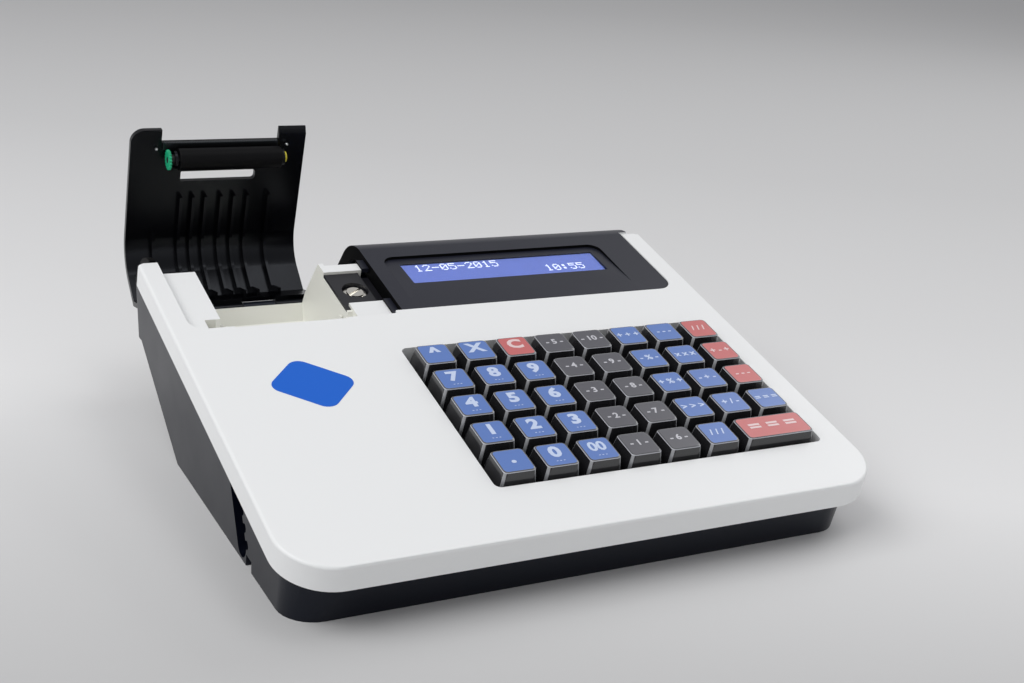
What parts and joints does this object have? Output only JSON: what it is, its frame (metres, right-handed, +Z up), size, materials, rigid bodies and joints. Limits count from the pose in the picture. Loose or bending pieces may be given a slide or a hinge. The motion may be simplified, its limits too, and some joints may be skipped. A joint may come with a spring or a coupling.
{
  "type": "ticket register",
  "caption": "Portable ticket register with a sloping white shell, black base and display, sprung keys, and a printer bay under a hinged cover that stands open.",
  "frame": {"origin": "middle of the base's flat underside, where it rests on the counter", "axes": "+X to the operator's right, +Y to the back, +Z up"},
  "size_m": [0.26, 0.2712, 0.1267],
  "materials": {
    "base_black": "fine texture, satin",
    "shell_white": "smooth satin",
    "bay_ivory": "smooth satin",
    "frame_steel": "plated",
    "head_aluminium": "anodised",
    "cover_black": "smooth satin",
    "tear_steel": "dark, burnished",
    "bush_yellow": "smooth",
    "platen_rubber": "matte",
    "shaft_steel": "polished",
    "gear_green": "smooth",
    "window_clear": "clear",
    "display_blue": "lit",
    "screw_nickel": "nickel plated",
    "board_green": "solder resist",
    "card_black": "smooth",
    "feet_rubber": "matte",
    "key_blue": "blue label under a clear cap",
    "key_red": "red label under a clear cap",
    "key_grey": "grey label under a clear cap"
  },
  "bodies": {
    "case": {"base_tray": "base_black", "top_shell": "shell_white", "paper_bay": "bay_ivory", "printer_frame": "frame_steel", "hinge_pin": "shaft_steel", "display_hood": "cover_black", "display_windows": "window_clear", "display_modules": "display_blue", "seal_bracket": "base_black", "seal_screw": "screw_nickel", "key_frame": "base_black", "circuit_boards": "board_green", "rubber_feet": "feet_rubber"},
    "cover": {"printer_cover": "cover_black", "tear_bar": "tear_steel", "platen_bushes": "bush_yellow"},
    "platen": {"platen_roller": "platen_rubber", "platen_shaft": "shaft_steel", "platen_gear": "gear_green"},
    "head": {"print_head": "head_aluminium"},
    "card": {"journal_card": "card_black"},
    "key_r1_c1": {"key_row1_col1": "key_blue"},
    "key_r1_c2": {"key_row1_col2": "key_blue"},
    "key_r1_c3": {"key_row1_col3": "key_red"},
    "key_r1_c4": {"key_row1_col4": "key_grey"},
    "key_r1_c5": {"key_row1_col5": "key_grey"},
    "key_r1_c6": {"key_row1_col6": "key_blue"},
    "key_r1_c7": {"key_row1_col7": "key_blue"},
    "key_r1_c8": {"key_row1_col8": "key_red"},
    "key_r2_c1": {"key_row2_col1": "key_blue"},
    "key_r2_c2": {"key_row2_col2": "key_blue"},
    "key_r2_c3": {"key_row2_col3": "key_blue"},
    "key_r2_c4": {"key_row2_col4": "key_grey"},
    "key_r2_c5": {"key_row2_col5": "key_grey"},
    "key_r2_c6": {"key_row2_col6": "key_blue"},
    "key_r2_c7": {"key_row2_col7": "key_blue"},
    "key_r2_c8": {"key_row2_col8": "key_red"},
    "key_r3_c1": {"key_row3_col1": "key_blue"},
    "key_r3_c2": {"key_row3_col2": "key_blue"},
    "key_r3_c3": {"key_row3_col3": "key_blue"},
    "key_r3_c4": {"key_row3_col4": "key_grey"},
    "key_r3_c5": {"key_row3_col5": "key_grey"},
    "key_r3_c6": {"key_row3_col6": "key_blue"},
    "key_r3_c7": {"key_row3_col7": "key_blue"},
    "key_r3_c8": {"key_row3_col8": "key_red"},
    "key_r4_c1": {"key_row4_col1": "key_blue"},
    "key_r4_c2": {"key_row4_col2": "key_blue"},
    "key_r4_c3": {"key_row4_col3": "key_blue"},
    "key_r4_c4": {"key_row4_col4": "key_grey"},
    "key_r4_c5": {"key_row4_col5": "key_grey"},
    "key_r4_c6": {"key_row4_col6": "key_blue"},
    "key_r4_c7": {"key_row4_col7": "key_blue"},
    "key_r4_c8": {"key_row4_col8": "key_blue"},
    "key_r5_c1": {"key_row5_col1": "key_blue"},
    "key_r5_c2": {"key_row5_col2": "key_blue"},
    "key_r5_c3": {"key_row5_col3": "key_blue"},
    "key_r5_c4": {"key_row5_col4": "key_grey"},
    "key_r5_c5": {"key_row5_col5": "key_grey"},
    "key_r5_c6": {"key_row5_col6": "key_blue"},
    "key_r5_c7": {"key_row5_col7": "key_red"}
  },
  "joints": [
    {"name": "cover_hinge", "type": "hinge", "parent": "case", "child": "cover", "pos_m": [0, 0.1486, 0.0422], "axis": [1, 0, 0], "range_deg": [0, 89]},
    {"name": "platen_spin", "type": "hinge", "parent": "cover", "child": "platen", "pos_m": [-0.0755, 0.16416, 0.11266], "axis": [1, 0, 0], "continuous": true},
    {"name": "head_pivot", "type": "hinge", "parent": "case", "child": "head", "pos_m": [-0.0755, 0.07416, 0.04589], "axis": [1, 0, 0], "range_deg": [0, 1.5], "stiffness_Nm_per_rad": 0.3, "springref_deg": -5.73},
    {"name": "card_slide", "type": "slide", "parent": "case", "child": "card", "axis": [-1, 0, 0], "range_m": [0, 0.02]},
    {"name": "key_r1_c1_press", "type": "slide", "parent": "case", "child": "key_r1_c1", "axis": [0, 0.225, -0.9744], "range_m": [0, 0.003], "stiffness_N_per_m": 150},
    {"name": "key_r1_c2_press", "type": "slide", "parent": "case", "child": "key_r1_c2", "axis": [0, 0.225, -0.9744], "range_m": [0, 0.003], "stiffness_N_per_m": 150},
    {"name": "key_r1_c3_press", "type": "slide", "parent": "case", "child": "key_r1_c3", "axis": [0, 0.225, -0.9744], "range_m": [0, 0.003], "stiffness_N_per_m": 150},
    {"name": "key_r1_c4_press", "type": "slide", "parent": "case", "child": "key_r1_c4", "axis": [0, 0.225, -0.9744], "range_m": [0, 0.003], "stiffness_N_per_m": 150},
    {"name": "key_r1_c5_press", "type": "slide", "parent": "case", "child": "key_r1_c5", "axis": [0, 0.225, -0.9744], "range_m": [0, 0.003], "stiffness_N_per_m": 150},
    {"name": "key_r1_c6_press", "type": "slide", "parent": "case", "child": "key_r1_c6", "axis": [0, 0.225, -0.9744], "range_m": [0, 0.003], "stiffness_N_per_m": 150},
    {"name": "key_r1_c7_press", "type": "slide", "parent": "case", "child": "key_r1_c7", "axis": [0, 0.225, -0.9744], "range_m": [0, 0.003], "stiffness_N_per_m": 150},
    {"name": "key_r1_c8_press", "type": "slide", "parent": "case", "child": "key_r1_c8", "axis": [0, 0.225, -0.9744], "range_m": [0, 0.003], "stiffness_N_per_m": 150},
    {"name": "key_r2_c1_press", "type": "slide", "parent": "case", "child": "key_r2_c1", "axis": [0, 0.225, -0.9744], "range_m": [0, 0.003], "stiffness_N_per_m": 150},
    {"name": "key_r2_c2_press", "type": "slide", "parent": "case", "child": "key_r2_c2", "axis": [0, 0.225, -0.9744], "range_m": [0, 0.003], "stiffness_N_per_m": 150},
    {"name": "key_r2_c3_press", "type": "slide", "parent": "case", "child": "key_r2_c3", "axis": [0, 0.225, -0.9744], "range_m": [0, 0.003], "stiffness_N_per_m": 150},
    {"name": "key_r2_c4_press", "type": "slide", "parent": "case", "child": "key_r2_c4", "axis": [0, 0.225, -0.9744], "range_m": [0, 0.003], "stiffness_N_per_m": 150},
    {"name": "key_r2_c5_press", "type": "slide", "parent": "case", "child": "key_r2_c5", "axis": [0, 0.225, -0.9744], "range_m": [0, 0.003], "stiffness_N_per_m": 150},
    {"name": "key_r2_c6_press", "type": "slide", "parent": "case", "child": "key_r2_c6", "axis": [0, 0.225, -0.9744], "range_m": [0, 0.003], "stiffness_N_per_m": 150},
    {"name": "key_r2_c7_press", "type": "slide", "parent": "case", "child": "key_r2_c7", "axis": [0, 0.225, -0.9744], "range_m": [0, 0.003], "stiffness_N_per_m": 150},
    {"name": "key_r2_c8_press", "type": "slide", "parent": "case", "child": "key_r2_c8", "axis": [0, 0.225, -0.9744], "range_m": [0, 0.003], "stiffness_N_per_m": 150},
    {"name": "key_r3_c1_press", "type": "slide", "parent": "case", "child": "key_r3_c1", "axis": [0, 0.225, -0.9744], "range_m": [0, 0.003], "stiffness_N_per_m": 150},
    {"name": "key_r3_c2_press", "type": "slide", "parent": "case", "child": "key_r3_c2", "axis": [0, 0.225, -0.9744], "range_m": [0, 0.003], "stiffness_N_per_m": 150},
    {"name": "key_r3_c3_press", "type": "slide", "parent": "case", "child": "key_r3_c3", "axis": [0, 0.225, -0.9744], "range_m": [0, 0.003], "stiffness_N_per_m": 150},
    {"name": "key_r3_c4_press", "type": "slide", "parent": "case", "child": "key_r3_c4", "axis": [0, 0.225, -0.9744], "range_m": [0, 0.003], "stiffness_N_per_m": 150},
    {"name": "key_r3_c5_press", "type": "slide", "parent": "case", "child": "key_r3_c5", "axis": [0, 0.225, -0.9744], "range_m": [0, 0.003], "stiffness_N_per_m": 150},
    {"name": "key_r3_c6_press", "type": "slide", "parent": "case", "child": "key_r3_c6", "axis": [0, 0.225, -0.9744], "range_m": [0, 0.003], "stiffness_N_per_m": 150},
    {"name": "key_r3_c7_press", "type": "slide", "parent": "case", "child": "key_r3_c7", "axis": [0, 0.225, -0.9744], "range_m": [0, 0.003], "stiffness_N_per_m": 150},
    {"name": "key_r3_c8_press", "type": "slide", "parent": "case", "child": "key_r3_c8", "axis": [0, 0.225, -0.9744], "range_m": [0, 0.003], "stiffness_N_per_m": 150},
    {"name": "key_r4_c1_press", "type": "slide", "parent": "case", "child": "key_r4_c1", "axis": [0, 0.225, -0.9744], "range_m": [0, 0.003], "stiffness_N_per_m": 150},
    {"name": "key_r4_c2_press", "type": "slide", "parent": "case", "child": "key_r4_c2", "axis": [0, 0.225, -0.9744], "range_m": [0, 0.003], "stiffness_N_per_m": 150},
    {"name": "key_r4_c3_press", "type": "slide", "parent": "case", "child": "key_r4_c3", "axis": [0, 0.225, -0.9744], "range_m": [0, 0.003], "stiffness_N_per_m": 150},
    {"name": "key_r4_c4_press", "type": "slide", "parent": "case", "child": "key_r4_c4", "axis": [0, 0.225, -0.9744], "range_m": [0, 0.003], "stiffness_N_per_m": 150},
    {"name": "key_r4_c5_press", "type": "slide", "parent": "case", "child": "key_r4_c5", "axis": [0, 0.225, -0.9744], "range_m": [0, 0.003], "stiffness_N_per_m": 150},
    {"name": "key_r4_c6_press", "type": "slide", "parent": "case", "child": "key_r4_c6", "axis": [0, 0.225, -0.9744], "range_m": [0, 0.003], "stiffness_N_per_m": 150},
    {"name": "key_r4_c7_press", "type": "slide", "parent": "case", "child": "key_r4_c7", "axis": [0, 0.225, -0.9744], "range_m": [0, 0.003], "stiffness_N_per_m": 150},
    {"name": "key_r4_c8_press", "type": "slide", "parent": "case", "child": "key_r4_c8", "axis": [0, 0.225, -0.9744], "range_m": [0, 0.003], "stiffness_N_per_m": 150},
    {"name": "key_r5_c1_press", "type": "slide", "parent": "case", "child": "key_r5_c1", "axis": [0, 0.225, -0.9744], "range_m": [0, 0.003], "stiffness_N_per_m": 150},
    {"name": "key_r5_c2_press", "type": "slide", "parent": "case", "child": "key_r5_c2", "axis": [0, 0.225, -0.9744], "range_m": [0, 0.003], "stiffness_N_per_m": 150},
    {"name": "key_r5_c3_press", "type": "slide", "parent": "case", "child": "key_r5_c3", "axis": [0, 0.225, -0.9744], "range_m": [0, 0.003], "stiffness_N_per_m": 150},
    {"name": "key_r5_c4_press", "type": "slide", "parent": "case", "child": "key_r5_c4", "axis": [0, 0.225, -0.9744], "range_m": [0, 0.003], "stiffness_N_per_m": 150},
    {"name": "key_r5_c5_press", "type": "slide", "parent": "case", "child": "key_r5_c5", "axis": [0, 0.225, -0.9744], "range_m": [0, 0.003], "stiffness_N_per_m": 150},
    {"name": "key_r5_c6_press", "type": "slide", "parent": "case", "child": "key_r5_c6", "axis": [0, 0.225, -0.9744], "range_m": [0, 0.003], "stiffness_N_per_m": 150},
    {"name": "key_r5_c7_press", "type": "slide", "parent": "case", "child": "key_r5_c7", "axis": [0, 0.225, -0.9744], "range_m": [0, 0.003], "stiffness_N_per_m": 150}
  ]
}
